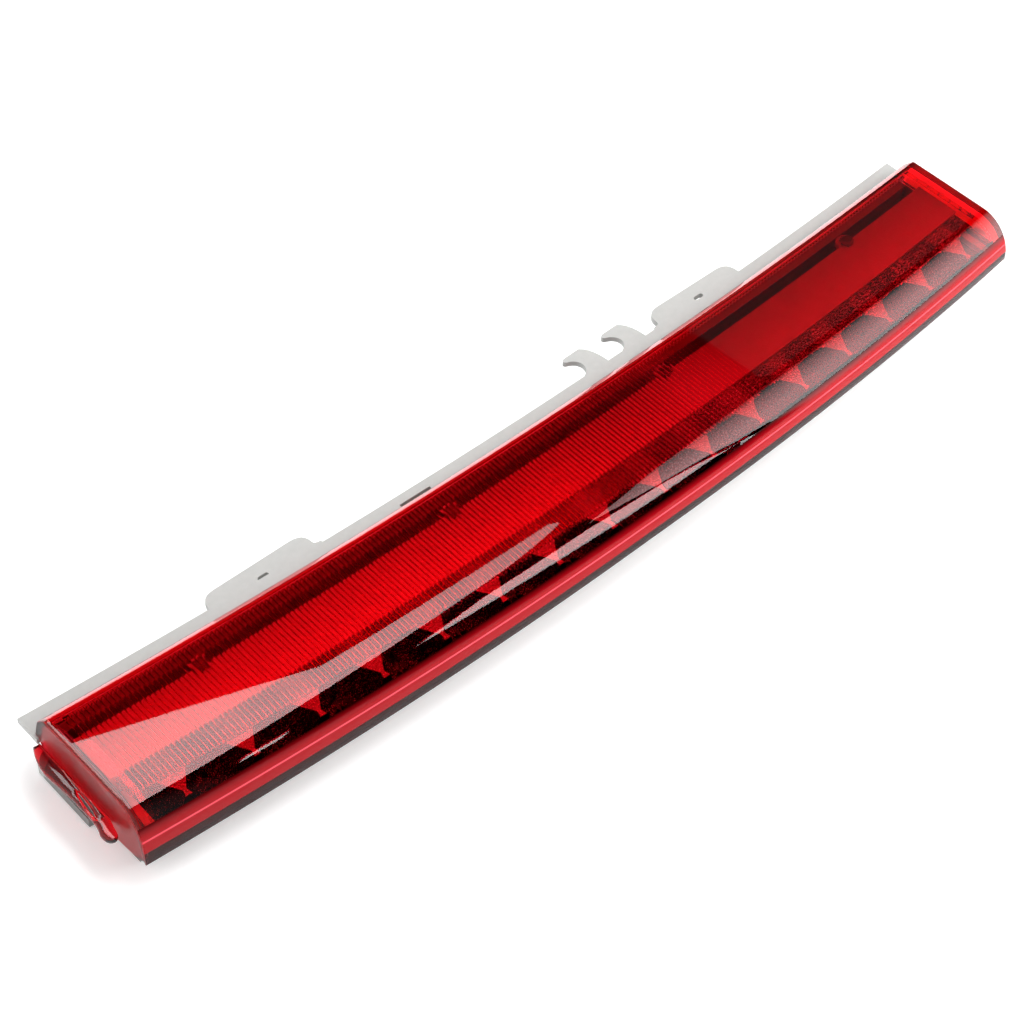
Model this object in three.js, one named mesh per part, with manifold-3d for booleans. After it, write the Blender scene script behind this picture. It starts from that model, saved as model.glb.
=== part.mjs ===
// High-level brake light: a red lens cap on a light grey housing, with a bezel, a reflector and an LED board inside.
// Millimetres. +X runs along the lamp, +Y towards the edge with the tabs and cable hooks, +Z out through the lens.
// The origin is the centre of the housing's flat rear face.

import * as THREE from "three";
import * as BufferGeometryUtils from "three/addons/utils/BufferGeometryUtils.js";
import Module from "manifold-3d";

const wasm = await Module();
wasm.setup();

// ---- Driving dimensions. The section's y starts at the lens's upper edge and z at the rear face. ----

const GAP = 0.3; // clearance between neighbouring pieces
const X_STEPS = 24; // slices along the lamp, so that long pieces follow the bow

const LENS_LENGTH = 460;
const HALF_LENGTH = LENS_LENGTH / 2;
const LENS_WIDTH = 56; // upper edge to nose
const LENS_WALL = 2.4;
const LENS_CHAMFER = 4.5; // sloped strip along the upper edge
const LENS_DRAFT = 1.5; // how far each end leans out at its foot
const FACE_Z = 36; // lens face above the rear face, at the upper edge
const FACE_CROWN = 0.3; // rise of the face from the upper edge to the shoulder
const SHOULDER = 39.5; // where the face turns into the nose
const NOSE_FOOT_Z = 17.8;
const NOSE_DROP = 5.2; // how much deeper the nose reaches at the -X end
const NOSE_CORNER = 3; // how far each end is rounded back where it meets the nose
const LENS_RIM_Z = 20; // foot of the lens's end walls
const TOP_BOW = 8.2; // sideways bow of the upper edge at mid-length
const NOSE_BOW = 12; // the same at the nose

const WALL = 2.5; // housing floor and flange thickness
const HOUSING_HALF = 227;
const HOUSING_TOP_Y = 1.5;
const HOUSING_NOSE_Y = -52;
const REAR_FACE_Y = -46.3; // nose side of the rear face, where the tray's sloped wall ends
const SLOPE_TOP_Z = 10.4;
const FLANGE_Z = 24; // top of the flange
const FLANGE_HALF = 232;
const FLANGE_INNER_Y = 2.9;
const FLANGE_OUTER_Y = 14.5;
const REAR_RIM_HALF = 231.8;
const REAR_RIM_Y = [-24, 6];
const REAR_RIM_HEIGHT = 5;

const TAB_X = [-127.2, 104.8];
const TAB_HALF = 24.3;
const TAB_END_Y = 16;
const TAB_HOLE_Y = 9;
const HOOK_X = [49.6, 71.5]; // each hook's straight side
const HOOK_REACH = 19.2;

const LED_COUNT = 17;
const LED_PITCH = 27.7;
const LED_Y = -44;
const BOARD_Z = 6.4;
const BOARD_THICKNESS = 1.6;
const BOARD_TOP = BOARD_Z + BOARD_THICKNESS;
const BOARD_SCREW_X = [-124.7, -13.9, 124.7];
const BOARD_TOP_EDGE_Y = -26.5;
const BOARD_NOSE_EDGE_Y = -47.2;
const PARTS_Y = -30.2; // line of the screws and small parts beside the LEDs

const BEZEL_HALF = 224.6;
const BEZEL_Z = 27;
const BEZEL_TOP = 29;
const BEZEL_RIM_Z = 19.8;
const BEZEL_RIM_TOP = 22.5;
const SHELF_Y = -29.5; // lower edge of the bezel's panel
const PANEL_SCREW_X = [-172.5, -57.5, 57.5, 172.5];
const PANEL_SCREW_Y = -8.5;

const REFLECTOR_HALF = 223.3;
const REFLECTOR_Z = 9.2;
const REFLECTOR_TOP = 28;
const REFLECTOR_FOOT_Y = -33.8; // upper side of its lower half, clear of the parts on the board
const REFLECTOR_STEP_Z = 18.5;
const CUP_RADIUS = 13.4;
const CUP_Y = -43.8;

const CONNECTOR_X = 25;
const CONNECTOR_Y = -18;
const CONNECTOR_TOP = 15;
const TERMINAL_SPACING = 6;

// ---- The bow: everything long is made straight, then moved sideways by this much. ----

function bowAt(x, y) {
  const along = 1 - (x / HALF_LENGTH) ** 2;
  const share = THREE.MathUtils.clamp(-y / LENS_WIDTH, 0, 1);
  return along * (TOP_BOW + (NOSE_BOW - TOP_BOW) * share);
}

function bowed(x, y) {
  return y - bowAt(x, y);
}

function mapPoints(geometry, change) {
  const position = geometry.getAttribute("position");
  const point = new THREE.Vector3();
  for (let i = 0; i < position.count; i += 1) {
    point.fromBufferAttribute(position, i);
    change(point);
    position.setXYZ(i, point.x, point.y, point.z);
  }
  return geometry;
}

function bend(geometry) {
  return mapPoints(geometry, (p) => {
    p.y = bowed(p.x, p.y);
  });
}

// ---- Solids ----

function solid(geometry) {
  geometry.deleteAttribute("normal");
  geometry.deleteAttribute("uv");
  const merged = BufferGeometryUtils.mergeVertices(geometry, 1e-5);
  const vertProperties = new Float32Array(merged.getAttribute("position").array);
  const triVerts = new Uint32Array(merged.getIndex().array);
  return new wasm.Manifold(new wasm.Mesh({ numProp: 3, vertProperties, triVerts }));
}

function boxGeometry(x, y, z, xSteps) {
  const geometry = new THREE.BoxGeometry(x[1] - x[0], y[1] - y[0], z[1] - z[0], xSteps, 1, 1);
  geometry.translate((x[0] + x[1]) / 2, (y[0] + y[1]) / 2, (z[0] + z[1]) / 2);
  return geometry;
}

// A box that is short enough to stay straight; y is where it really lies.
function block(x, y, z) {
  return solid(boxGeometry(x, y, z, 1));
}

// A long box that follows the bow.
function bentBlock(x, y, z, xSteps = X_STEPS) {
  return solid(bend(boxGeometry(x, y, z, xSteps)));
}

// An outline in x and y, raised from one z to another.
function plate(shape, z, curveSegments = 6) {
  const options = { depth: z[1] - z[0], bevelEnabled: false, curveSegments };
  const geometry = new THREE.ExtrudeGeometry(shape, options);
  geometry.translate(0, 0, z[0]);
  return solid(geometry);
}

// A closed turned shape round a line parallel to Z: profile is a list of [radius, z].
function turned(profile, x, y, segments = 16) {
  const points = profile.map(([radius, z]) => new THREE.Vector2(radius, z));
  const geometry = new THREE.LatheGeometry(points, segments);
  geometry.rotateX(Math.PI / 2);
  geometry.translate(x, y, 0);
  return solid(geometry);
}

function rod(radius, x, y, z, segments = 16) {
  return turned([[0, z[0]], [radius, z[0]], [radius, z[1]], [0, z[1]]], x, y, segments);
}

function union(parts) {
  return parts.reduce((whole, part) => whole.add(part));
}

function cut(body, tools) {
  return tools.reduce((whole, tool) => whole.subtract(tool), body);
}

// A section in y and z, drawn out along X in slices.
function sectionGeometry(points, x, steps) {
  const shape = new THREE.Shape(points.map(([y, z]) => new THREE.Vector2(y, z)));
  const geometry = new THREE.ExtrudeGeometry(shape, { depth: x[1] - x[0], steps, bevelEnabled: false });
  const toRow = new THREE.Matrix4().makeBasis(
    new THREE.Vector3(0, 1, 0),
    new THREE.Vector3(0, 0, 1),
    new THREE.Vector3(1, 0, 0),
  );
  geometry.applyMatrix4(toRow);
  geometry.translate(x[0], 0, 0);
  return geometry;
}

// ---- Lens: a cap with a flat face, a chamfer along its upper edge and a rounded nose ----

// Half an outline of the cap's section, as [y, z], from the chamfer round to the nose's foot.
function lensCurve(inset) {
  const corner = inset * Math.tan(Math.PI / 8);
  const points = [[LENS_CHAMFER - inset, FACE_Z - LENS_CHAMFER - corner]];
  const faceSteps = 4;
  for (let i = 0; i <= faceSteps; i += 1) {
    const u = i / faceSteps;
    const start = -corner;
    const y = start + (-SHOULDER - start) * u;
    points.push([y, FACE_Z - inset + FACE_CROWN * (1 - (1 - u) ** 2)]);
  }
  const noseSteps = 9;
  const deep = FACE_Z + FACE_CROWN - NOSE_FOOT_Z;
  for (let i = 1; i <= noseSteps; i += 1) {
    const turn = (i / noseSteps) * (Math.PI / 2);
    const y = -SHOULDER - (LENS_WIDTH - SHOULDER - inset) * Math.sin(turn);
    points.push([y, NOSE_FOOT_Z + (deep - inset) * Math.cos(turn)]);
  }
  return points;
}

// The cap's section between two drafted ends with rounded nose corners, then bowed.
function lensBody(points, inset, corner) {
  const clamp = THREE.MathUtils.clamp;
  const geometry = sectionGeometry(points, [-1, 1], X_STEPS);
  mapPoints(geometry, (p) => {
    const lean = (LENS_DRAFT * (FACE_Z - p.z)) / (FACE_Z - LENS_RIM_Z);
    const round = clamp((-p.y - SHOULDER) / (LENS_WIDTH - inset - SHOULDER), 0, 1);
    const back = corner * (1 - Math.sqrt(1 - round ** 2));
    p.x *= HALF_LENGTH - inset + lean - back;
    if (p.y < -SHOULDER) {
      const share = (FACE_Z - p.z) / (FACE_Z - NOSE_FOOT_Z);
      p.z -= NOSE_DROP * share ** 2 * clamp(-p.x / HALF_LENGTH, 0, 1);
    }
  });
  return solid(bend(geometry));
}

// The springy leaf at the foot of an end wall, closed at both ends round a narrow slit.
function endLip(side) {
  const at = (out, y) => [side * (HALF_LENGTH + out), y];
  const outline = new THREE.Shape();
  outline.moveTo(...at(0, 2.2));
  outline.lineTo(...at(4.6, 2.2));
  outline.quadraticCurveTo(...at(7.4, -3), ...at(7.6, -10));
  outline.quadraticCurveTo(...at(6.2, -22), ...at(6.4, -35));
  outline.quadraticCurveTo(...at(6.6, -39), ...at(7.9, -42));
  outline.quadraticCurveTo(...at(8.4, -46.6), ...at(5.2, -47));
  outline.quadraticCurveTo(...at(3, -46.6), ...at(2.6, -43));
  outline.lineTo(...at(0, -38));
  const slit = new THREE.Path();
  slit.moveTo(...at(3.2, -22));
  slit.quadraticCurveTo(...at(3.4, -29), ...at(4.8, -36));
  slit.quadraticCurveTo(...at(5.4, -30), ...at(3.2, -22));
  outline.holes.push(slit);
  return plate(outline, [LENS_RIM_Z, LENS_RIM_Z + 2.6]);
}

function makeLens() {
  const foot = LENS_CHAMFER + 1;
  const footZ = FLANGE_Z + GAP;
  const step = FLANGE_INNER_Y - GAP;
  const outer = lensBody([[foot, footZ], ...lensCurve(0), [step, LENS_RIM_Z], [step, footZ]], 0, NOSE_CORNER);
  const below = [[-LENS_WIDTH + LENS_WALL, 0], [foot - LENS_WALL, 0]];
  const inner = lensBody([[foot - LENS_WALL, footZ], ...lensCurve(LENS_WALL), ...below], LENS_WALL, 0);
  return union([cut(outer, [inner]), endLip(-1), endLip(1)]);
}

// ---- Housing: tray, flange with two tabs and two cable hooks, rear rim and screw bosses ----

function tabShape(centre) {
  const corner = 6.5;
  const flare = 3;
  const root = bowed(centre, FLANGE_OUTER_Y);
  const shape = new THREE.Shape();
  shape.moveTo(centre - TAB_HALF - flare, root - flare);
  shape.lineTo(centre - TAB_HALF - flare, root);
  shape.quadraticCurveTo(centre - TAB_HALF, root, centre - TAB_HALF, root + flare / 2);
  shape.quadraticCurveTo(centre - TAB_HALF, TAB_END_Y, centre - TAB_HALF + corner, TAB_END_Y);
  shape.lineTo(centre + TAB_HALF - corner, TAB_END_Y);
  shape.quadraticCurveTo(centre + TAB_HALF, TAB_END_Y, centre + TAB_HALF, root + flare / 2);
  shape.quadraticCurveTo(centre + TAB_HALF, root, centre + TAB_HALF + flare, root);
  shape.lineTo(centre + TAB_HALF + flare, root - flare);
  const halfSlot = 1.4;
  const hole = new THREE.Path();
  hole.absarc(centre + halfSlot, TAB_HOLE_Y, 1.1, -Math.PI / 2, Math.PI / 2, false);
  hole.absarc(centre - halfSlot, TAB_HOLE_Y, 1.1, Math.PI / 2, Math.PI * 1.5, false);
  shape.holes.push(hole);
  return shape;
}

// A finger that leans over towards -X, so that a cable can lie in its crook.
function hookShape(x) {
  const root = bowed(x, FLANGE_OUTER_Y) - 3;
  const shape = new THREE.Shape();
  shape.moveTo(x, root);
  shape.quadraticCurveTo(x, HOOK_REACH - 3.4, x - 5, HOOK_REACH);
  shape.lineTo(x - 13.6, HOOK_REACH - 0.2);
  shape.quadraticCurveTo(x - 15.6, HOOK_REACH - 1, x - 14.2, HOOK_REACH - 2.4);
  shape.quadraticCurveTo(x - 9.6, HOOK_REACH - 4, x - 9.6, HOOK_REACH - 7.6);
  shape.quadraticCurveTo(x - 9.8, root + 4.4, x - 13.2, root + 3.2);
  shape.lineTo(x - 13.2, root);
  return shape;
}

// The tray's section; its nose wall slopes back towards the rear face.
function traySection(x, y, z, inset) {
  const slope = (REAR_FACE_Y - HOUSING_NOSE_Y) / SLOPE_TOP_Z;
  const foot = REAR_FACE_Y + inset - slope * z[0];
  const points = [[y[1], z[0]], [y[1], z[1]], [y[0], z[1]], [y[0], SLOPE_TOP_Z], [foot, z[0]]];
  return solid(bend(sectionGeometry(points, x, X_STEPS)));
}

function makeHousing() {
  const innerTop = HOUSING_TOP_Y - WALL;
  const noseWall = 2.1;
  const endWall = 1.8;
  const noseWallTop = BEZEL_RIM_Z - 0.4;
  const across = [-HOUSING_HALF, HOUSING_HALF];
  const inside = [-HOUSING_HALF + endWall, HOUSING_HALF - endWall];
  const flange = [FLANGE_Z - WALL, FLANGE_Z];
  const shell = union([
    traySection(across, [HOUSING_NOSE_Y, HOUSING_TOP_Y], [0, FLANGE_Z], 0),
    bentBlock([-REAR_RIM_HALF, REAR_RIM_HALF], REAR_RIM_Y, [0, REAR_RIM_HEIGHT]),
    bentBlock(inside, [innerTop, FLANGE_OUTER_Y - 1], flange),
    bentBlock([-FLANGE_HALF, FLANGE_HALF], [FLANGE_INNER_Y, FLANGE_OUTER_Y], flange),
    ...TAB_X.map((x) => plate(tabShape(x), flange)),
    ...HOOK_X.map((x) => plate(hookShape(x), flange)),
  ]);
  const tray = cut(shell, [
    traySection(inside, [HOUSING_NOSE_Y + noseWall, innerTop], [WALL, FLANGE_Z + 1], noseWall),
    bentBlock([-240, 240], [-60, -49], [noseWallTop, FLANGE_Z + 1]),
  ]);
  const boardBosses = BOARD_SCREW_X.map((x) => {
    return rod(3, x, bowed(x, PARTS_Y), [WALL - 1, BOARD_Z - GAP]);
  });
  const panelBosses = PANEL_SCREW_X.map((x) => {
    return rod(3.2, x, bowed(x, PANEL_SCREW_Y), [WALL - 1, BEZEL_Z - GAP]);
  });
  const slot = bentBlock([-66, -51], [7.5, 10.5], [FLANGE_Z - WALL - 1, FLANGE_Z + 1], 2);
  const socketY = bowed(CONNECTOR_X, CONNECTOR_Y);
  const socketHole = block(
    [CONNECTOR_X - 10.4, CONNECTOR_X + 10.4],
    [socketY - 6.9, socketY + 6.9],
    [-1, WALL + 1],
  );
  const screwHoles = [
    ...BOARD_SCREW_X.map((x) => rod(1.3, x, bowed(x, PARTS_Y), [1.5, 10])),
    ...PANEL_SCREW_X.map((x) => rod(1.5, x, bowed(x, PANEL_SCREW_Y), [14, 30])),
  ];
  return cut(union([tray, ...boardBosses, ...panelBosses]), [slot, socketHole, ventHole(), ...screwHoles]);
}

// ---- Breather vent in the tray's upper wall ----

const VENT_X = -150;
const VENT_Z = 12;

function alongY(part, x, y, z) {
  return part.rotate([-90, 0, 0]).translate([x, y, z]);
}

function ventHole() {
  return alongY(rod(2.4, 0, 0, [-6, 6]), VENT_X, bowed(VENT_X, HOUSING_TOP_Y), VENT_Z);
}

function makeVentCap() {
  const profile = [[0, -4], [2, -4], [2, 0.6], [4.6, 0.6], [4.6, 3.4], [3.6, 4.6], [1, 4.6], [1, 2.4], [0, 2.4]];
  return alongY(turned(profile, 0, 0, 20), VENT_X, bowed(VENT_X, HOUSING_TOP_Y), VENT_Z);
}

// ---- Bezel: white panel behind the ribbed part of the lens, and a frame round the LED window ----

function makeBezel() {
  const across = [-BEZEL_HALF, BEZEL_HALF];
  const rimY = [-52, -50];
  const cheek = (side) => {
    const x = [side * 221, side * BEZEL_HALF].sort((a, b) => a - b);
    return bentBlock(x, [rimY[0], SHELF_Y + 1], [BEZEL_RIM_Z, BEZEL_RIM_TOP], 1);
  };
  const ears = PANEL_SCREW_X.map((x) => rod(4.6, x, bowed(x, PANEL_SCREW_Y), [BEZEL_Z, BEZEL_TOP]));
  const frame = union([
    bentBlock(across, [SHELF_Y, PANEL_SCREW_Y], [BEZEL_Z, BEZEL_TOP]),
    bentBlock(across, [SHELF_Y, SHELF_Y + 2], [BEZEL_RIM_Z, BEZEL_TOP]),
    bentBlock(across, rimY, [BEZEL_RIM_Z, BEZEL_RIM_TOP]),
    cheek(-1),
    cheek(1),
    ...ears,
  ]);
  return cut(frame, PANEL_SCREW_X.map((x) => rod(1.8, x, bowed(x, PANEL_SCREW_Y), [BEZEL_Z - 1, 30])));
}

// ---- Reflector: one bar with a bowl for each LED; the lands between bowls taper to a tip ----

function ledX(index) {
  return (index - (LED_COUNT - 1) / 2) * LED_PITCH;
}

function makeReflector() {
  const across = [-REFLECTOR_HALF, REFLECTOR_HALF];
  const noseSide = -48.8;
  const bar = union([
    bentBlock([-220.6, 220.6], [noseSide, SHELF_Y - GAP], [REFLECTOR_STEP_Z, REFLECTOR_TOP]),
    bentBlock(across, [noseSide, REFLECTOR_FOOT_Y], [REFLECTOR_Z, BEZEL_RIM_Z - 0.4]),
  ]);
  const throat = 3.4;
  const bowl = [];
  const rings = 4;
  for (let i = 0; i <= rings; i += 1) {
    const u = i / rings;
    const radius = throat + (CUP_RADIUS - throat) * Math.sqrt(u);
    bowl.push([radius, REFLECTOR_Z + 1.4 + (REFLECTOR_TOP - REFLECTOR_Z - 1.4) * u]);
  }
  const profile = [[0, REFLECTOR_Z - 1], [throat, REFLECTOR_Z - 1], ...bowl, [CUP_RADIUS, 31], [0, 31]];
  const cups = Array.from({ length: LED_COUNT }, (_, i) => {
    return turned(profile, ledX(i), bowed(ledX(i), CUP_Y), 20);
  });
  return cut(bar, cups);
}

// ---- LED board and what is soldered to it ----

function makeBoard() {
  const board = bentBlock([-223, 223], [BOARD_NOSE_EDGE_Y, BOARD_TOP_EDGE_Y], [BOARD_Z, BOARD_TOP]);
  const holes = BOARD_SCREW_X.map((x) => rod(1.3, x, bowed(x, PARTS_Y), [0, 10]));
  return cut(board, holes);
}

// A small moulded package with a domed top.
function makeLed(index) {
  const x = ledX(index);
  const y = bowed(x, LED_Y);
  const base = BOARD_TOP + GAP;
  const body = block([x - 1.75, x + 1.75], [y - 1.4, y + 1.4], [base, base + 1.4]);
  const dome = [[0, base + 0.5], [1.2, base + 0.5], [1.2, base + 1.6], [0.85, base + 2.3], [0, base + 2.6]];
  return body.add(turned(dome, x, y, 12));
}

function makeChip(x, y, size) {
  const centre = bowed(x, y);
  const base = BOARD_TOP + GAP;
  const [long, wide, high] = size;
  return block([x - long / 2, x + long / 2], [centre - wide / 2, centre + wide / 2], [base, base + high]);
}

// ---- Socket in the rear face, with two terminals that lead over to the board ----

function terminalX(side) {
  return CONNECTOR_X + (side * TERMINAL_SPACING) / 2;
}

function makeConnectorShell() {
  const y = bowed(CONNECTOR_X, CONNECTOR_Y);
  const about = (halfX, halfY, z) => {
    return block([CONNECTOR_X - halfX, CONNECTOR_X + halfX], [y - halfY, y + halfY], z);
  };
  const body = union([about(10, 6.5, [0.5, CONNECTOR_TOP]), about(12, 8.5, [WALL + GAP, WALL + 1.8])]);
  const slots = [-1, 1].map((side) => {
    return block([terminalX(side) - 0.7, terminalX(side) + 0.7], [y - 1.7, y + 1.7], [10, 20]);
  });
  return cut(body, [about(8.4, 4.9, [-1, CONNECTOR_TOP - 1.6]), ...slots]);
}

function makeTerminal(side) {
  const y = bowed(CONNECTOR_X, CONNECTOR_Y);
  const boardY = bowed(CONNECTOR_X, PARTS_Y);
  const bladeZ = 6.5;
  const turnZ = CONNECTOR_TOP + 1;
  const footZ = BOARD_TOP + GAP;
  const points = [
    [y + 1.4, bladeZ],
    [y + 1.4, turnZ + 1.2],
    [boardY - 0.6, turnZ + 1.2],
    [boardY - 0.6, footZ],
    [boardY + 0.6, footZ],
    [boardY + 0.6, turnZ],
    [y - 1.4, turnZ],
    [y - 1.4, bladeZ],
  ];
  const x = terminalX(side);
  return solid(sectionGeometry(points, [x - 0.4, x + 0.4], 1));
}

// ---- Screws and the seal under the flange ----

function makeScrew(x, y, seatZ, headRadius, shankRadius, length) {
  const high = headRadius * 0.55;
  const profile = [
    [0, seatZ - length],
    [shankRadius, seatZ - length],
    [shankRadius, seatZ],
    [headRadius, seatZ],
    [headRadius, seatZ + high * 0.6],
    [headRadius * 0.7, seatZ + high],
    [0, seatZ + high],
  ];
  return turned(profile, x, bowed(x, y), 14);
}

function makeFlangeSeal() {
  const top = FLANGE_Z - WALL - GAP;
  return bentBlock([-226, 226], [8, 12.5], [top - 2.4, top]);
}

// ---- Materials and assembly ----

function finish(color, roughness, metalness = 0) {
  return new THREE.MeshStandardMaterial({ color, roughness, metalness });
}

const materials = {
  lens: finish(0xb3060c, 0.06),
  housing: finish(0xcfd0cd, 0.5),
  bezel: finish(0xe6e6e2, 0.45),
  reflector: finish(0xd6d8da, 0.18, 0.9),
  board: finish(0x1d5a36, 0.55),
  led: finish(0xe9e2c8, 0.35),
  chip: finish(0x18181a, 0.5),
  connector: finish(0x1b1b1d, 0.45),
  terminal: finish(0xc9c6bb, 0.3, 1),
  rubber: finish(0x202022, 0.85),
  screw: finish(0xb9bcc0, 0.35, 1),
};

const lamp = new THREE.Group();
lamp.position.y = -(bowed(0, HOUSING_TOP_Y) + bowed(0, REAR_FACE_Y)) / 2;

function addPiece(name, body, material) {
  const made = body.getMesh();
  const geometry = new THREE.BufferGeometry();
  geometry.setAttribute("position", new THREE.BufferAttribute(made.vertProperties, 3));
  geometry.setIndex(new THREE.BufferAttribute(made.triVerts, 1));
  const mesh = new THREE.Mesh(geometry, material);
  mesh.name = name;
  lamp.add(mesh);
}

addPiece("lens", makeLens(), materials.lens);
addPiece("housing", makeHousing(), materials.housing);
addPiece("inner_bezel", makeBezel(), materials.bezel);
addPiece("reflector", makeReflector(), materials.reflector);
addPiece("circuit_board", makeBoard(), materials.board);
for (let i = 0; i < LED_COUNT; i += 1) {
  addPiece(`led_${String(i + 1).padStart(2, "0")}`, makeLed(i), materials.led);
}
[-180, -97, -69, 69, 97, 180].forEach((x, i) => {
  addPiece(`resistor_${i + 1}`, makeChip(x, PARTS_Y, [6.3, 3.2, 0.7]), materials.chip);
});
addPiece("driver_chip", makeChip(48, PARTS_Y, [6.2, 5, 1.6]), materials.chip);
addPiece("input_diode", makeChip(8, PARTS_Y, [4.4, 2.6, 2.2]), materials.chip);
addPiece("connector_shell", makeConnectorShell(), materials.connector);
addPiece("terminal_1", makeTerminal(-1), materials.terminal);
addPiece("terminal_2", makeTerminal(1), materials.terminal);
addPiece("vent_cap", makeVentCap(), materials.rubber);
addPiece("flange_seal", makeFlangeSeal(), materials.rubber);
PANEL_SCREW_X.forEach((x, i) => {
  const body = makeScrew(x, PANEL_SCREW_Y, BEZEL_TOP + GAP, 3, 1.2, 12);
  addPiece(`panel_screw_${i + 1}`, body, materials.screw);
});
BOARD_SCREW_X.forEach((x, i) => {
  const body = makeScrew(x, PARTS_Y, BOARD_TOP + GAP, 2.4, 1, 6);
  addPiece(`board_screw_${i + 1}`, body, materials.screw);
});

const root = new THREE.Group();
root.add(lamp);

export default root;
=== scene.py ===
"""Looks for the third brake light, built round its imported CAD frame, in metres and in the frame's axes."""

import math

import bmesh
import bpy
from mathutils import Matrix, Vector


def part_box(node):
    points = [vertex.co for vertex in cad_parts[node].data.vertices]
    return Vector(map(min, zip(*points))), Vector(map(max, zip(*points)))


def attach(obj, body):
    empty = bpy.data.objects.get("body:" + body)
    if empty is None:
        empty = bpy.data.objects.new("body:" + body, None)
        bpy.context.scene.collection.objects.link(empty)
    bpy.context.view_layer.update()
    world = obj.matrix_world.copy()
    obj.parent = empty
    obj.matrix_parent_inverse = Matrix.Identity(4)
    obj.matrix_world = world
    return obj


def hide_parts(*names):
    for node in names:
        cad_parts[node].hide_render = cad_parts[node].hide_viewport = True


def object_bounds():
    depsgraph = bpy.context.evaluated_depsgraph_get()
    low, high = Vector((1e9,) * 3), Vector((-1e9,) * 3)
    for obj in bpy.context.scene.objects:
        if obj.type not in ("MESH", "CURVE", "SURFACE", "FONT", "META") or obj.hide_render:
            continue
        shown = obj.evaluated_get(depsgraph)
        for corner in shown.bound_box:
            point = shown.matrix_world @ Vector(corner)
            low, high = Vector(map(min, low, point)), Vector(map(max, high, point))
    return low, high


MM = 0.001

# ---- Shape of the lamp in millimetres: y from the lens's upper edge, z from the rear face ----

HALF_LENGTH = 230
LENS_WIDTH = 56
LENS_WALL = 2.4
CHAMFER = 4.5
DRAFT = 1.5
FACE_Z = 36
CROWN = 0.3
SHOULDER = 39.5
NOSE_FOOT_Z = 17.8
NOSE_DROP = 5.2
NOSE_CORNER = 3
END_FOOT_Z = 20
END_SLOPE_TOP_Y = 2.6
END_STEP_Y = 2
LEAN_START = 200
TOP_FOOT_Z = 24.3
EDGE_RADIUS = 0.9
TOP_BOW = 8.2
NOSE_BOW = 12

LED_COUNT = 17
LED_PITCH = 27.7
LED_Y = -44
CUP_Y = -43.8
CUP_RADIUS = 13.4
CUP_THROAT = 3.4
CUP_FLOOR_Z = 10.6
REFLECTOR_TOP = 28
REFLECTOR_Y = (-48.8, -29.8)
REFLECTOR_HALF = 223.3
SHELF_END_Y = -38.6
FIN_TIP_Y = -47.5
FIN_HALF = 6

# Painted strips on the lens's nose: the red band is painted light, for light seen through the thick red
# plastic; the light line in it is a painted highlight; the dark skirt is painted shade
BAND_Y = -52
BAND_FULL_Y = -53.9
HIGHLIGHT_LINE_Y = (-54.7, -54.4)
SKIRT_Y = -55.45

FLUTES_PER_LED = 14
FLUTE_PITCH = LED_PITCH / FLUTES_PER_LED
FLUTE_DEPTH = 0.36
FLUTE_STEPS = 6
FLUTED_HALF = 113 * FLUTE_PITCH
FLUTE_FADE = (0, 85)
FLUTE_LEAST = 0.1


def bow(x, y):
    """How far the lamp is bowed towards the nose, x millimetres from its middle."""
    share = min(max(-y / LENS_WIDTH, 0), 1)
    return (1 - (x / HALF_LENGTH) ** 2) * (TOP_BOW + (NOSE_BOW - TOP_BOW) * share)


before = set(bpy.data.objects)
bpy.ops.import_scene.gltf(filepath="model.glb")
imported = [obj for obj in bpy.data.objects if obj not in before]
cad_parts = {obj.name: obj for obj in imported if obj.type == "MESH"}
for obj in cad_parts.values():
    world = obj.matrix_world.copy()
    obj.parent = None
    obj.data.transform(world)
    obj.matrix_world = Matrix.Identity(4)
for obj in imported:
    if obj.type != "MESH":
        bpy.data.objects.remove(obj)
cad_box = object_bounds()

low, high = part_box("led_09")
ROW_Y = (low.y + high.y) / 2 / MM - (LED_Y - bow(0, LED_Y))


def row(x, y, z):
    """A point of the straight section, bowed and moved into the row frame, in metres."""
    return Vector((x, y - bow(x, y) + ROW_Y, z)) * MM


# ---- Materials ----


def principled(name, color, **inputs):
    material = bpy.data.materials.new(name)
    material.use_nodes = True
    shader = material.node_tree.nodes["Principled BSDF"]
    shader.inputs["Base Color"].default_value = (*color, 1)
    for key, value in inputs.items():
        shader.inputs[key.replace("_", " ")].default_value = value
    return material


def node(material, kind, **settings):
    made = material.node_tree.nodes.new(kind)
    for key, value in settings.items():
        if key in made.inputs:
            made.inputs[key].default_value = value
        else:
            setattr(made, key, value)
    return made


def link(material, start, end):
    material.node_tree.links.new(start, end)


def grained(material, color, spread, scale, bump_height, detail=4):
    """Gives a material a slightly uneven colour and a fine moulded grain."""
    shader = material.node_tree.nodes["Principled BSDF"]
    place = node(material, "ShaderNodeTexCoord")
    noise = node(material, "ShaderNodeTexNoise", Scale=scale, Detail=detail)
    ramp = node(material, "ShaderNodeValToRGB")
    ramp.color_ramp.elements[0].position = 0.3
    ramp.color_ramp.elements[1].position = 0.7
    ramp.color_ramp.elements[0].color = (*[c * (1 - spread) for c in color], 1)
    ramp.color_ramp.elements[1].color = (*[min(1, c * (1 + spread)) for c in color], 1)
    bump = node(material, "ShaderNodeBump", Distance=bump_height)
    link(material, place.outputs["Object"], noise.inputs["Vector"])
    link(material, noise.outputs["Fac"], ramp.inputs["Fac"])
    link(material, ramp.outputs["Color"], shader.inputs["Base Color"])
    link(material, noise.outputs["Fac"], bump.inputs["Height"])
    link(material, bump.outputs["Normal"], shader.inputs["Normal"])
    return material


def plastic(name, color, roughness, spread=0.03, scale=400, bump_height=0.00002, **inputs):
    return grained(principled(name, color, Roughness=roughness, **inputs), color, spread, scale, bump_height)


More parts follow.
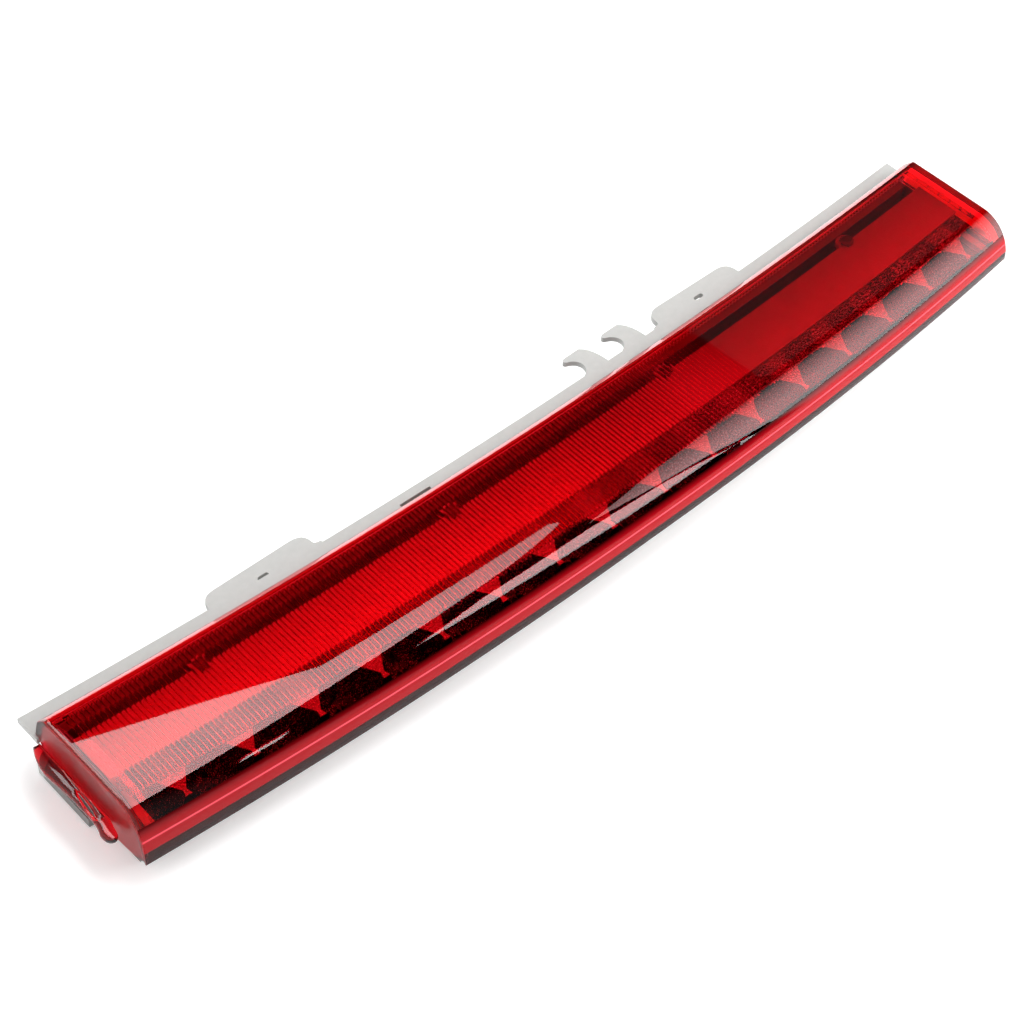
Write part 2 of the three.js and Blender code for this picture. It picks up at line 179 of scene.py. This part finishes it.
def clear_red(name, tint, roughness, IOR=1.49):
    """Transparent red acrylic: it darkens with the length of the way through it."""
    material = principled(name, tint, Roughness=roughness, IOR=IOR, Transmission_Weight=1.0)
    volume = node(material, "ShaderNodeVolumeAbsorption", Color=(0.985, 0.02, 0.2, 1), Density=620)
    output = material.node_tree.nodes["Material Output"]
    link(material, volume.outputs["Volume"], output.inputs["Volume"])
    return material


def chrome_with_painted_glints(name, color, painted_glint_color, roughness):
    """Metallised plastic with a fine pebbled grain whose points catch the light: the glints are painted, as
    a brighter base colour at those points.
    """
    material = principled(name, color, Metallic=1.0, Roughness=roughness)
    shader = material.node_tree.nodes["Principled BSDF"]
    place = node(material, "ShaderNodeTexCoord")
    cells = node(material, "ShaderNodeTexVoronoi", Scale=1300)
    dots = node(material, "ShaderNodeValToRGB")
    dots.color_ramp.elements[0].position = 0.2
    dots.color_ramp.elements[1].position = 0.34
    dots.color_ramp.elements[0].color = (*painted_glint_color, 1)
    dots.color_ramp.elements[1].color = (*color, 1)
    bump = node(material, "ShaderNodeBump", Distance=0.0004, Strength=1.0)
    link(material, place.outputs["Object"], cells.inputs["Vector"])
    link(material, cells.outputs["Distance"], dots.inputs["Fac"])
    link(material, dots.outputs["Color"], shader.inputs["Base Color"])
    link(material, cells.outputs["Distance"], bump.inputs["Height"])
    link(material, bump.outputs["Normal"], shader.inputs["Normal"])
    return material


def ramped(material, value, start, end):
    """Maps a value from one range, start, to another, end, both as pairs, and holds it beyond them."""
    ramp = node(material, "ShaderNodeMapRange")
    ramp.inputs["From Min"].default_value = start[0]
    ramp.inputs["From Max"].default_value = start[1]
    ramp.inputs["To Min"].default_value = end[0]
    ramp.inputs["To Max"].default_value = end[1]
    link(material, value, ramp.inputs["Value"])
    return ramp.outputs["Result"]


def math_of(material, operation, first, second):
    made = node(material, "ShaderNodeMath", operation=operation)
    for place, value in zip(made.inputs, (first, second)):
        if isinstance(value, (int, float)):
            place.default_value = value
        else:
            link(material, value, place)
    return made.outputs["Value"]


def straight_y(material, split, bow_amount):
    """The y of the straight section, in millimetres, from the separated object coordinates."""
    x_share = math_of(material, "MULTIPLY", split.outputs["X"], 1000 / HALF_LENGTH)
    squared = math_of(material, "MULTIPLY", x_share, x_share)
    lift = math_of(material, "MULTIPLY_ADD", squared, -bow_amount)
    lift.node.inputs[2].default_value = bow_amount - ROW_Y
    millimetres = math_of(material, "MULTIPLY", split.outputs["Y"], 1000)
    return math_of(material, "ADD", millimetres, lift)


def tinted(material, factor):
    """Multiplies a material's base colour by a factor."""
    base = material.node_tree.nodes["Principled BSDF"].inputs["Base Color"]
    tint = node(material, "ShaderNodeVectorMath", operation="SCALE")
    link(material, base.links[0].from_socket, tint.inputs[0])
    link(material, factor, tint.inputs["Scale"])
    link(material, tint.outputs["Vector"], base)


def separated(material):
    place = node(material, "ShaderNodeTexCoord")
    split = node(material, "ShaderNodeSeparateXYZ")
    link(material, place.outputs["Object"], split.inputs["Vector"])
    return split


def land_chrome_painted_light_shade():
    """Speckled chrome with painted glints, bright on the fins, and on the shelf behind them darkened by
    painted shade midway between two fins.
    """
    material = chrome_with_painted_glints("land_chrome_painted_light_shade", (0.5, 0.5, 0.51), (1.0, 1.0, 1.0), 0.4)
    split = separated(material)
    pitches = math_of(material, "MULTIPLY", split.outputs["X"], 1000 / LED_PITCH)
    part = math_of(material, "FRACT", pitches, 0)
    off_fin = math_of(material, "ABSOLUTE", math_of(material, "SUBTRACT", part, 0.5), 0)
    shelf = ramped(material, off_fin, (0.12, 0.3), (0.5, 0.28))
    on_shelf = ramped(material, straight_y(material, split, 11), (SHELF_END_Y, SHELF_END_Y + 1), (0.0, 1.0))
    less = math_of(material, "SUBTRACT", 1, shelf)
    tinted(material, math_of(material, "SUBTRACT", 1, math_of(material, "MULTIPLY", less, on_shelf)))
    return material


def bezel_plastic_painted_shade():
    """White plastic with painted shade: it darkens towards the lamp's +X end and towards its upper edge."""
    material = plastic("bezel_white", (0.94, 0.92, 0.9), 0.4, bump_height=0.00001)
    split = separated(material)
    along = ramped(material, split.outputs["X"], (-0.09, 0.08), (1.0, 0.48))
    across = ramped(material, straight_y(material, split, 9.6), (-27, -8), (1.0, 0.58))
    tinted(material, math_of(material, "MULTIPLY", along, across))
    return material


def band_painted_light_and_shade():
    """Opaque deep red painted on the thick lower edge of the lens as painted light, for light seen through
    the thick red plastic, with painted shade: darker towards the face and towards the -X end.
    """
    material = plastic("lens_red_band_painted", (0.4, 0.003, 0.008), 0.08, IOR=1.24, bump_height=0.000005)
    split = separated(material)
    along = ramped(material, split.outputs["X"], (-0.2, 0.1), (0.85, 1.0))
    across = ramped(material, straight_y(material, split, NOSE_BOW), (BAND_FULL_Y, BAND_Y), (1.0, 0.06))
    tinted(material, math_of(material, "MULTIPLY", along, across))
    return material


def housing_plastic_painted_shade():
    """Light grey plastic with painted shade: darker inside the lens."""
    material = plastic("housing_grey", (0.42, 0.42, 0.408), 0.42, bump_height=0.00001)
    split = separated(material)
    tinted(material, ramped(material, straight_y(material, split, TOP_BOW), (2.4, 2.9), (0.4, 1.0)))
    return material


LENS_RED = clear_red("lens_red", (1.0, 0.3, 0.36), 0.0)
LENS_SATIN = clear_red("lens_red_satin", (1.0, 0.3, 0.36), 0.4)
LENS_DEEP = clear_red("lens_red_deep", (0.8, 0.04, 0.06), 0.05)
# The skirt's dark tint is painted shade: it darkens what is seen through the nose's lowest strip.
LENS_SKIRT_PAINTED_SHADE = clear_red("lens_red_skirt_painted_shade", (0.16, 0.02, 0.025), 0.0, IOR=1.27)
LENS_BAND_PAINTED = band_painted_light_and_shade()
# Painted highlight: a light red line along the nose, standing for a streak of light.
LENS_HIGHLIGHT_LINE = plastic("lens_red_painted_highlight_line", (0.8, 0.07, 0.1), 0.08, IOR=1.28, bump_height=0.000005)
HOUSING_GREY = housing_plastic_painted_shade()
BEZEL_WHITE = bezel_plastic_painted_shade()
# The bowls' chrome is painted near black, a painted dark reflection, with light painted glints.
BOWL_CHROME_PAINTED_DARK = chrome_with_painted_glints("bowl_chrome_painted_dark", (0.07, 0.07, 0.075), (0.75, 0.75, 0.76), 0.3)
LAND_CHROME_PAINTED_LIGHT_SHADE = land_chrome_painted_light_shade()
BOARD_GREEN = plastic("board_green", (0.015, 0.12, 0.04), 0.35, spread=0.2, scale=250)
LED_CLEAR = plastic("led_clear", (0.85, 0.76, 0.45), 0.2, spread=0.1)
CHIP_BLACK = plastic("chip_black", (0.018, 0.018, 0.02), 0.5, spread=0.2)
NYLON_BLACK = plastic("connector_black", (0.014, 0.014, 0.016), 0.45, spread=0.2)
TIN = plastic("terminal_tin", (0.65, 0.63, 0.58), 0.28, Metallic=1.0)
RUBBER = plastic("rubber_black", (0.02, 0.02, 0.021), 0.8, spread=0.3, scale=900, bump_height=0.00008)
ZINC = plastic("screw_zinc", (0.6, 0.61, 0.62), 0.3, Metallic=1.0)
# Zinc darkened to near black and made rougher, for the panel screws.
DARKENED_ZINC = plastic("screw_darkened_zinc", (0.12, 0.12, 0.125), 0.5, Metallic=1.0)


# ---- Building pieces ----


def piece(name, points, faces, material, stands_for, crease=30):
    """A new visual piece, smooth except where it turns by more than crease degrees; points are in metres."""
    mesh = bpy.data.meshes.new(name)
    mesh.from_pydata(points, [], faces)
    made = bpy.data.objects.new(name, mesh)
    bpy.context.scene.collection.objects.link(made)
    work = bmesh.new()
    work.from_mesh(mesh)
    bmesh.ops.remove_doubles(work, verts=work.verts, dist=1e-7)
    bmesh.ops.dissolve_degenerate(work, edges=work.edges, dist=1e-8)
    bmesh.ops.recalc_face_normals(work, faces=work.faces)
    for edge in work.edges:
        edge.smooth = edge.calc_face_angle(0) < math.radians(crease)
    for face in work.faces:
        face.smooth = True
    work.to_mesh(mesh)
    work.free()
    mesh.materials.append(material)
    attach(made, "root")
    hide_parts(*stands_for)
    return made


def rounded(before, corner, after, radius, steps=4):
    """Points of a rounded corner between two straight lines, all in two dimensions."""
    corner = Vector(corner)
    start = corner + (Vector(before) - corner).normalized() * radius
    end = corner + (Vector(after) - corner).normalized() * radius
    points = []
    for i in range(steps + 1):
        t = i / steps
        points.append(tuple(start * (1 - t) ** 2 + corner * 2 * t * (1 - t) + end * t**2))
    return points


# ---- Lens ----

NOSE_TURNS = (4, 8, 11, 12, 16, 21, 26, 32, 38, 44, 50, 57, 61, 64, 66, 70, 77, 84, 90)
FACE_YS = (-3, -8, -14, -20, -26, -32, -37, -39.5)
FLUTED_Y = (-42.3, -1.1)


def face_rise(y):
    """Height of the crowned face above its upper edge."""
    u = min(max(-y / SHOULDER, 0), 1)
    return CROWN * (1 - (1 - u) ** 2)


def lens_outline(inset):
    """The cap's outline as (y, z), inset from its outside, from its upper wall's foot to its nose's foot."""
    foot = (CHAMFER + 1 - inset, TOP_FOOT_Z)
    low = (CHAMFER - inset, FACE_Z - CHAMFER - inset * math.tan(math.pi / 8))
    top = (-inset * math.tan(math.pi / 8), FACE_Z - inset)
    points = [foot]
    points += rounded(foot, low, top, 0.8, 3)
    points += rounded(low, top, (-10, FACE_Z - inset), 0.6, 4)
    points += [(-0.9 - inset / 2, FACE_Z - inset), (-1.0 - inset / 2, FACE_Z - inset)]
    points += [(y, FACE_Z - inset + face_rise(y)) for y in FACE_YS]
    across = LENS_WIDTH - SHOULDER - inset
    deep = FACE_Z + CROWN - NOSE_FOOT_Z - inset
    for turn in NOSE_TURNS:
        angle = math.radians(turn)
        points.append((-SHOULDER - across * math.sin(angle), NOSE_FOOT_Z + deep * math.cos(angle)))
    return points


def lens_stations():
    """(x, share of the edge fillet) along the lamp: rounded ends, plain borders, and the flutes between."""
    turns = [math.radians(90 * i / 5) for i in range(6)]
    end = [(HALF_LENGTH - EDGE_RADIUS * (1 - math.sin(a)), 1 - math.cos(a)) for a in turns]
    plain = [(FLUTED_HALF + 0.02, 0), (HALF_LENGTH - 5, 0), (HALF_LENGTH - 2, 0)]
    right = plain + end
    count = round(2 * FLUTED_HALF / FLUTE_PITCH) * FLUTE_STEPS
    middle = [(-FLUTED_HALF + i * FLUTE_PITCH / FLUTE_STEPS, 0) for i in range(count + 1)]
    return [(-x, share) for x, share in reversed(right)] + middle + right


def flute(x, y):
    """Depth of the flutes on the inside of the lens at x, y."""
    if abs(x) > FLUTED_HALF or not FLUTED_Y[0] < y < FLUTED_Y[1]:
        return 0
    across = (x / FLUTE_PITCH) % 1 * 2 - 1
    faded = min(max((x - FLUTE_FADE[0]) / (FLUTE_FADE[1] - FLUTE_FADE[0]), 0), 1)
    return FLUTE_DEPTH * (1 - (1 - FLUTE_LEAST) * faded) * (1 - across**2)


def end_foot(y):
    """Height of the foot of an end wall: it slopes under the face and steps up to the upper wall's."""
    if y > END_STEP_Y:
        return TOP_FOOT_Z
    share = (y + LENS_WIDTH) / (END_SLOPE_TOP_Y + LENS_WIDTH)
    return NOSE_FOOT_Z + (END_FOOT_Z - NOSE_FOOT_Z) * share


def lens_place(x, y, z, corner):
    """Leans the ends out, rounds their nose corners, deepens the nose at one end, and bows the whole."""
    near_end = min(max((abs(x) - LEAN_START) / (HALF_LENGTH - LEAN_START), 0), 1)
    turned = min(max((-y - SHOULDER) / (LENS_WIDTH - SHOULDER), 0), 1)
    shift = DRAFT * (FACE_Z - z) / (FACE_Z - END_FOOT_Z) - corner * (1 - math.sqrt(1 - turned**2))
    x += math.copysign(shift * near_end**2, x)
    if y < -SHOULDER:
        share = (FACE_Z - z) / (FACE_Z - NOSE_FOOT_Z)
        z -= NOSE_DROP * share**2 * min(max(-x / HALF_LENGTH, 0), 1)
    return row(x, y, z)


def cap_skin(points, faces, inset, stations, corner, fluted):
    """Adds one skin of the cap, and returns the loop of point numbers round its foot."""
    scale = 1 - inset / HALF_LENGTH
    rows = []
    for x, share in stations:
        along = x if fluted and abs(x) <= FLUTED_HALF else x * scale
        ring = []
        for y, z in lens_outline(inset + EDGE_RADIUS * share):
            if fluted:
                z -= flute(x, y)
            ring.append(len(points))
            points.append(lens_place(along, y, z, corner))
        rows.append(ring)
    steps = 8
    feet = []
    for side in (0, -1):
        x, share = stations[side]
        outline = lens_outline(inset + EDGE_RADIUS * share)
        above = rows[side]
        for i in range(1, steps + 1):
            ring = []
            for y, z in outline:
                foot = min(z, end_foot(y))
                ring.append(len(points))
                points.append(lens_place(x * scale, y, z + (foot - z) * i / steps, corner))
            add_strip(faces, above, ring)
            above = ring
        feet.append(above)
    for first, second in zip(rows, rows[1:]):
        add_strip(faces, first, second)
    nose = [ring[-1] for ring in rows]
    top = [ring[0] for ring in rows]
    return nose + feet[1][::-1] + top[::-1] + feet[0]


def add_strip(faces, first, second):
    for a, b, c, d in zip(first, first[1:], second[1:], second):
        faces.append((a, b, c, d))


# CLEAR and SATIN are finishes; the skirt, band and line are painted strips: painted shade, painted light
# with painted shade, and a painted highlight.
CLEAR, SATIN, SKIRT, BAND, HIGHLIGHT_LINE = range(5)


def lens_finish_or_painted_strip(face):
    """Which finish, or which painted strip of light or shade, a face of the lens has."""
    x, bowed_y = face.center.x / MM, face.center.y / MM - ROW_Y
    y = bowed_y + bow(x, bowed_y)
    y = bowed_y + bow(x, y)
    if abs(face.normal.x) > 0.5 and abs(x) > HALF_LENGTH - 6:
        return SATIN
    if y < SKIRT_Y:
        return SKIRT
    if HIGHLIGHT_LINE_Y[0] < y < HIGHLIGHT_LINE_Y[1]:
        return HIGHLIGHT_LINE
    if y < BAND_Y:
        return BAND
    return CLEAR


def make_lens():
    points, faces = [], []
    stations = lens_stations()
    outer = cap_skin(points, faces, 0, stations, NOSE_CORNER, False)
    inner = cap_skin(points, faces, LENS_WALL, stations, 0, True)
    add_strip(faces, outer + outer[:1], inner + inner[:1])
    made = piece("lens_cap", points, faces, LENS_RED, ["lens"])
    for material in (LENS_SATIN, LENS_SKIRT_PAINTED_SHADE, LENS_BAND_PAINTED, LENS_HIGHLIGHT_LINE):
        made.data.materials.append(material)
    for face in made.data.polygons:
        face.material_index = lens_finish_or_painted_strip(face)
    return made


make_lens()

# ---- Springy leaf at the foot of each end wall, with a narrow slit ----

LIP_Z = (20, 22.6)
LIP_CURVES = (
    ((1.3, 2.2), (3, 2.2), (4.2, 2.2)),
    ((4.2, 2.2), (7.2, -3), (7.6, -10)),
    ((7.6, -10), (6.2, -22), (6.4, -35)),
    ((6.4, -35), (6.6, -39), (7.9, -42)),
    ((7.9, -42), (8.4, -46.6), (5.2, -47)),
    ((5.2, -47), (3, -46.6), (2.6, -43)),
    ((2.6, -43), (1.9, -40), (1.3, -38)),
)
SLIT_CURVES = (((3.2, -22), (3.4, -29), (4.8, -36)), ((4.8, -36), (5.4, -30), (3.2, -22)))


def curve_points(curves, steps=6):
    """Points along joined quadratic curves, each given by its start, its control point and its end."""
    points = []
    for start, control, end in curves:
        for i in range(steps):
            t = i / steps
            point = Vector(start) * (1 - t) ** 2 + Vector(control) * 2 * t * (1 - t) + Vector(end) * t**2
            points.append(point)
    return points


def shrunk(outline, amount):
    """The closed outline moved inwards by amount."""
    moved = []
    for before, here, after in zip(outline[-1:] + outline[:-1], outline, outline[1:] + outline[:1]):
        along = (after - before).normalized()
        moved.append(here + Vector((along.y, -along.x)) * amount)
    return moved


def make_lip(side):
    """The leaf as rings stacked in z, with rounded rims, and the slit through it."""
    radius = 0.8
    middle = sum(LIP_Z) / 2
    half = (LIP_Z[1] - LIP_Z[0]) / 2
    outline = curve_points(LIP_CURVES)
    slit = curve_points(SLIT_CURVES, 10)
    work = bmesh.new()
    rim_edges = ([], [])
    for loop in (outline, slit):
        rings = []
        for i in range(9):
            turn = math.pi * (i / 8 - 0.5)
            inset = radius * (1 - math.cos(turn))
            z = middle + half * math.sin(turn)
            ring = []
            for p in shrunk(loop, inset):
                ring.append(work.verts.new(row(side * (HALF_LENGTH + p.x), p.y, z)))
            rings.append(ring)
        for lower, upper in zip(rings, rings[1:]):
            for a, b, c, d in zip(lower, lower[1:] + lower[:1], upper[1:] + upper[:1], upper):
                work.faces.new((a, b, c, d))
        for rims, ring in zip(rim_edges, (rings[0], rings[-1])):
            rims += [work.edges.get((a, b)) for a, b in zip(ring, ring[1:] + ring[:1])]
    for rims in rim_edges:
        bmesh.ops.triangle_fill(work, edges=rims, use_beauty=True)
    work.verts.index_update()
    points = [v.co.copy() for v in work.verts]
    faces = [tuple(v.index for v in f.verts) for f in work.faces]
    work.free()
    end = "left" if side < 0 else "right"
    return piece(f"lens_lip_{end}", points, faces, LENS_DEEP, ["lens"], 50)


for side in (-1, 1):
    make_lip(side)

# ---- Reflector: bowls with a ridge on the far wall, and pointed lands between them ----

RIDGE = 2
RIDGE_TURN = 12
RIDGE_TOP = 0.5
RIDGE_FADE = 0.15
RIDGE_TOP_Z = CUP_FLOOR_Z + (REFLECTOR_TOP - CUP_FLOOR_Z) * RIDGE_TOP
CUP_TURNS = 72
CUP_LEVELS = 14
LAND_STEPS = 38


def cup_ring(x0, u):
    """The ring of a bowl at share u of its depth, pushed in on the far wall where the ridge stands."""
    radius = CUP_THROAT + (CUP_RADIUS - CUP_THROAT) * math.sqrt(u)
    z = CUP_FLOOR_Z + (REFLECTOR_TOP - CUP_FLOOR_Z) * u
    ring = []
    for turn in range(CUP_TURNS):
        angle = 2 * math.pi * turn / CUP_TURNS
        past = angle - math.pi / 2
        off = math.degrees(abs(math.atan2(math.sin(past), math.cos(past))))
        ridge = RIDGE * max(0, 1 - off / RIDGE_TURN) * min(1, max(0, (RIDGE_TOP - u) / RIDGE_FADE))
        r = radius - ridge
        ring.append(Vector((x0 + r * math.cos(angle), CUP_Y + r * math.sin(angle), z)))
    return ring


def make_reflector():
    points, faces = [], []
    land_points, land_faces = [], []
    for index in range(LED_COUNT):
        x0 = (index - (LED_COUNT - 1) / 2) * LED_PITCH
        rings = [cup_ring(x0, level / CUP_LEVELS) for level in range(CUP_LEVELS + 1)]
        for lower, upper in zip(rings, rings[1:]):
            for i in range(CUP_TURNS):
                j = (i + 1) % CUP_TURNS
                quad = clip_cup([lower[i], lower[j], upper[j], upper[i]], x0)
                if len(quad) < 3:
                    continue
                turn = 360 * (i + 0.5) / CUP_TURNS
                # Ridge faces get the brighter land chrome instead of the bowls' darkened chrome: a painted
                # highlight on the bowl's far wall.
                on_ridge = abs(turn - 90) < RIDGE_TURN and quad[0].z < RIDGE_TOP_Z
                into, onto = (land_points, land_faces) if on_ridge else (points, faces)
                start = len(into)
                into.extend(row(*p) for p in quad)
                onto.append(tuple(range(start, start + len(quad))))
        add_land(land_points, land_faces, x0)
    piece("reflector_bowls", points, faces, BOWL_CHROME_PAINTED_DARK, ["reflector"], 40)
    piece("reflector_lands", land_points, land_faces, LAND_CHROME_PAINTED_LIGHT_SHADE, ["reflector"], 40)


def within_bar(x):
    return min(max(x, -REFLECTOR_HALF), REFLECTOR_HALF)


def clip_cup(polygon, x0):
    """Cuts a polygon of a bowl back to its own share of the bar."""
    sides = ((0, within_bar(x0 - LED_PITCH / 2), 1), (0, within_bar(x0 + LED_PITCH / 2), -1),
             (1, REFLECTOR_Y[0], 1), (1, REFLECTOR_Y[1], -1))
    for axis, limit, sign in sides:
        kept = []
        for a, b in zip(polygon, polygon[1:] + polygon[:1]):
            da, db = sign * (a[axis] - limit), sign * (b[axis] - limit)
            if da >= 0:
                kept.append(a)
            if (da > 0 > db) or (da < 0 < db):
                kept.append(a.lerp(b, da / (da - db)))
        polygon = kept
        if len(polygon) < 3:
            return []
    return polygon


def open_half(y):
    """Half the width of a bowl's opening at y: none over the shelf, then narrowed by the pointed fins."""
    if y > SHELF_END_Y:
        return 0
    circle = math.sqrt(max(CUP_RADIUS**2 - (y - CUP_Y) ** 2, 0))
    fin = FIN_HALF * max((y - FIN_TIP_Y) / (SHELF_END_Y - FIN_TIP_Y), 0)
    return min(circle, LED_PITCH / 2 - fin)


def add_land(points, faces, x0):
    """The flat top of the bar from this bowl to the middle of its neighbours' fins."""
    depth = REFLECTOR_Y[1] - REFLECTOR_Y[0]
    for side in (-1, 1):
        for i in range(LAND_STEPS):
            ys = [REFLECTOR_Y[0] + depth * k / LAND_STEPS for k in (i, i + 1)]
            edge = within_bar(x0 + side * LED_PITCH / 2)
            ring = [within_bar(x0 + side * open_half(y)) for y in ys]
            quad = [(ring[0], ys[0]), (edge, ys[0]), (edge, ys[1]), (ring[1], ys[1])]
            start = len(points)
            points.extend(row(x, y, REFLECTOR_TOP) for x, y in quad)
            faces.append(tuple(range(start, start + 4)))


make_reflector()

# ---- CAD pieces that keep their own mesh: softened edges and their materials ----


def finish_node(name, material, width=0.0003):
    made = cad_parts[name]
    made.data.materials.clear()
    made.data.materials.append(material)
    soften = made.modifiers.new("soft_edges", "BEVEL")
    soften.width = width
    soften.segments = 2
    soften.limit_method = "ANGLE"
    soften.angle_limit = math.radians(35)


PLAIN = {
    "housing": HOUSING_GREY,
    "inner_bezel": BEZEL_WHITE,
    "circuit_board": BOARD_GREEN,
    "led": LED_CLEAR,
    "resistor": CHIP_BLACK,
    "driver_chip": CHIP_BLACK,
    "input_diode": CHIP_BLACK,
    "connector_shell": NYLON_BLACK,
    "terminal": TIN,
    "vent_cap": RUBBER,
    "flange_seal": RUBBER,
    "panel_screw": DARKENED_ZINC,
    "board_screw": ZINC,
}

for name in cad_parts:
    for start, material in PLAIN.items():
        if name.startswith(start):
            finish_node(name, material)

# ---- Floor, light and camera ----


def make_floor():
    mesh = bpy.data.meshes.new("floor")
    size = 8
    corners = [(-size, -size, 0), (size, -size, 0), (size, size, 0), (-size, size, 0)]
    mesh.from_pydata([Vector(c) for c in corners], [], [(0, 1, 2, 3)])
    floor = bpy.data.objects.new("floor", mesh)
    floor.location.z = cad_box[0].z - 0.0005
    bpy.context.scene.collection.objects.link(floor)
    mesh.materials.append(plastic("floor_white", (0.97, 0.97, 0.97), 0.9, spread=0.005, scale=3,
                                  Emission_Color=(1, 1, 1, 1), Emission_Strength=0.16))


def make_world():
    """Soft light from the lamp's -X side only, so that the face of the lens mirrors darkness."""
    world = bpy.data.worlds.new("studio")
    bpy.context.scene.world = world
    world.use_nodes = True
    tree = world.node_tree
    place = tree.nodes.new("ShaderNodeTexCoord")
    split = tree.nodes.new("ShaderNodeSeparateXYZ")
    ramp = tree.nodes.new("ShaderNodeMapRange")
    ramp.inputs["From Min"].default_value = 0.2
    ramp.inputs["From Max"].default_value = -0.05
    ramp.inputs["To Min"].default_value = 0.0
    ramp.inputs["To Max"].default_value = 1.0
    background = tree.nodes["Background"]
    background.inputs["Color"].default_value = (1, 1, 1, 1)
    tree.links.new(place.outputs["Generated"], split.inputs["Vector"])
    tree.links.new(split.outputs["X"], ramp.inputs["Value"])
    tree.links.new(ramp.outputs["Result"], background.inputs["Strength"])


def light_panel(name, origin, up, outline, radiance, fade=None):
    """A flat lit panel: outline is in millimetres along +X and up from origin.

    fade is (axis, start, end, radiance at the end): it dims the panel along X or Y.
    """
    origin = Vector(origin)
    up = Vector(up).normalized()
    mesh = bpy.data.meshes.new(name)
    mesh.from_pydata([(x, y, 0) for x, y in outline], [], [tuple(range(len(outline)))])
    panel = bpy.data.objects.new(name, mesh)
    across = Vector((1, 0, 0))
    turn = Matrix((across, up, across.cross(up))).transposed()
    panel.matrix_world = Matrix.Translation(origin * MM) @ turn.to_4x4() @ Matrix.Scale(MM, 4)
    bpy.context.scene.collection.objects.link(panel)
    panel.visible_camera = False
    material = bpy.data.materials.new(name)
    material.use_nodes = True
    tree = material.node_tree
    tree.nodes.clear()
    glow = tree.nodes.new("ShaderNodeEmission")
    glow.inputs["Strength"].default_value = radiance
    output = tree.nodes.new("ShaderNodeOutputMaterial")
    tree.links.new(glow.outputs["Emission"], output.inputs["Surface"])
    if fade:
        axis, start, end, least = fade
        dimmed = ramped(material, separated(material).outputs[axis], (start, end), (radiance, least))
        link(material, dimmed, glow.inputs["Strength"])
    mesh.materials.append(material)


# Frames of the panels, as (origin, up), and their outlines
CEILING = ((0, 0, 1000), (0, 1, 0))
SLOPE = ((0, -1000, 200), (0, 1240, 800))
BACK_PANEL = ((-100, 745), (310, 550), (575, 530), (575, 490), (400, 10), (0, -510), (-100, -510))
DIM_PANEL = ((870, 500), (1800, 500), (1800, 900), (890, 900))
SIDE_SEAM = ((790, 80), (740, 165), (640, 310), (590, 380), (535, 495), (490, 590), (440, 695), (400, 800))
SIDE_OUTER = ((370, 950), (440, 1065), (520, 1200), (600, 1280), (700, 1450), (1500, 1450), (1600, 500),
              (2200, -480), (1200, -420))
SIDE_PANEL = SIDE_SEAM + SIDE_OUTER
STRIP_PANEL = ((345, 795), (385, 745), (425, 685), (475, 580), (515, 490), (565, 385), (610, 310),
               (700, 175), (760, 80), (720, 90), (650, 245), (560, 370), (420, 435), (260, 545),
               (190, 600), (150, 650), (205, 745), (230, 800))
SLIT_PANEL = ((-20, 330), (25, 330), (32, 415), (-12, 415))


def make_lights():
    light_panel("panel_back", *CEILING, BACK_PANEL, 6, fade=("X", 200, 520, 3.6))
    light_panel("panel_dim", *CEILING, DIM_PANEL, 0.12)
    light_panel("panel_side", *SLOPE, SIDE_PANEL, 4.6, fade=("Y", 600, 1450, 0.0))
    light_panel("panel_strip", *SLOPE, STRIP_PANEL, 7)
    light_panel("panel_slit", *SLOPE, SLIT_PANEL, 8)


CAMERA_PLACE = (-0.4425, -0.3795, 0.6727)
CAMERA_RIGHT = Vector((0.7309, -0.6803, 0.0554))
CAMERA_UP = Vector((0.4902, 0.5797, 0.6509))
CAMERA_LENS = 79.1


def make_camera():
    data = bpy.data.cameras.new("camera")
    data.sensor_width = 36
    data.lens = CAMERA_LENS
    data.clip_start = 0.01
    camera = bpy.data.objects.new("camera", data)
    back = CAMERA_RIGHT.cross(CAMERA_UP).normalized()
    up = back.cross(CAMERA_RIGHT).normalized()
    turn = Matrix((CAMERA_RIGHT.normalized(), up, back)).transposed()
    camera.matrix_world = Matrix.Translation(CAMERA_PLACE) @ turn.to_4x4()
    bpy.context.scene.collection.objects.link(camera)
    bpy.context.scene.camera = camera


bpy.context.scene.view_settings.view_transform = "Standard"
make_floor()
make_world()
make_lights()
make_camera()
